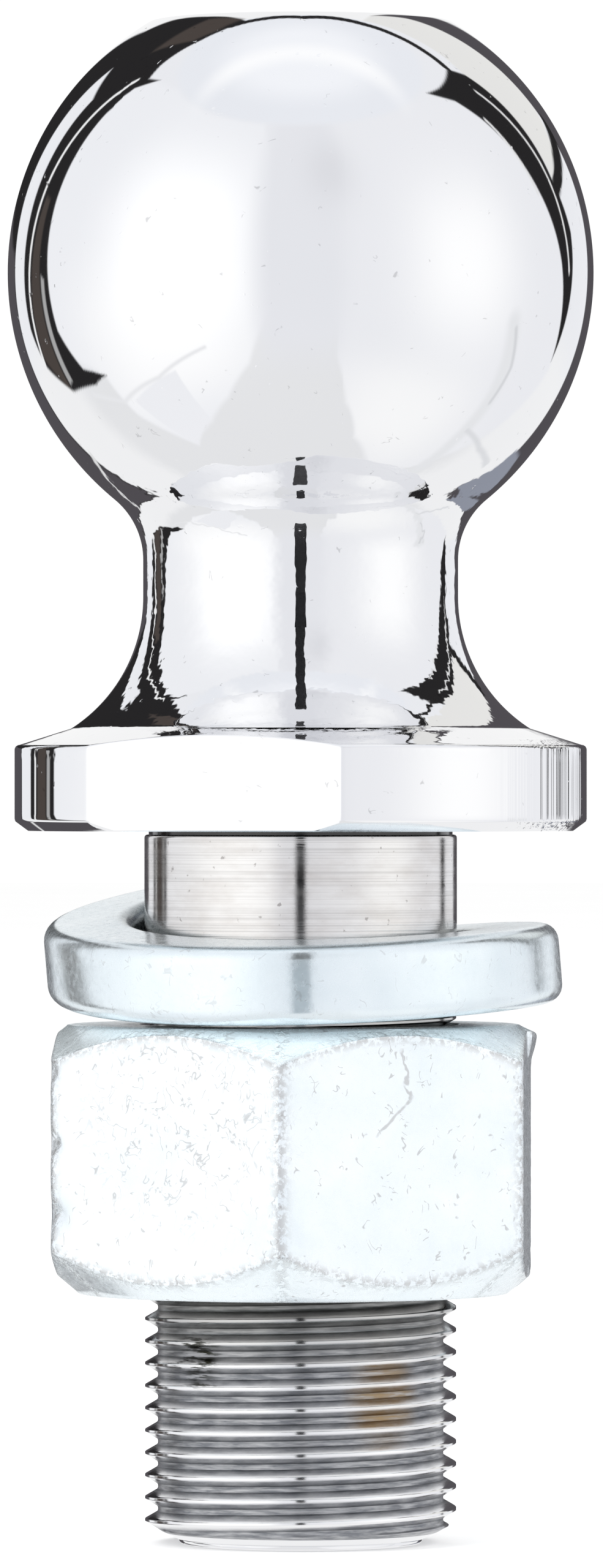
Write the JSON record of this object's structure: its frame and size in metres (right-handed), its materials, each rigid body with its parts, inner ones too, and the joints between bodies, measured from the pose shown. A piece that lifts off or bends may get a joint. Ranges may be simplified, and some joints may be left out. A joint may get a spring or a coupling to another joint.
{
  "type": "trailer hitch ball",
  "caption": "Chrome trailer hitch ball with a wrench-flat flange on a threaded shank, held by a split lock washer and a hex nut.",
  "frame": {"origin": "centre of the flange's underside, on the axis of the shank", "axes": "+Z along the shank axis towards the ball, +X to the right, -Y to the front"},
  "size_m": [0.0476, 0.0476, 0.1236],
  "materials": {
    "ball_chrome": "polished chrome on the ball, neck and flange, turned bright steel on the shank and thread",
    "washer_zinc": "satin clear zinc plate",
    "nut_zinc": "satin clear zinc plate with fine scratches"
  },
  "bodies": {
    "ball": {"hitch_ball": "ball_chrome"},
    "washer": {"lock_washer": "washer_zinc"},
    "nut": {"hex_nut": "nut_zinc"}
  },
  "joints": [
    {"name": "washer_slide", "type": "slide", "parent": "ball", "child": "washer", "axis": [0, 0, 1], "range_m": [-0.0202, 0.00255]},
    {"name": "nut_spin", "type": "hinge", "parent": "washer", "child": "nut", "pos_m": [0, 0, -0.0266], "axis": [0, 0, 1], "range_deg": [-4000, 500]}
  ],
  "couplings": [
    {"joint": "washer_slide", "follows": "nut_spin", "m_per_rad": 0.00028875}
  ]
}
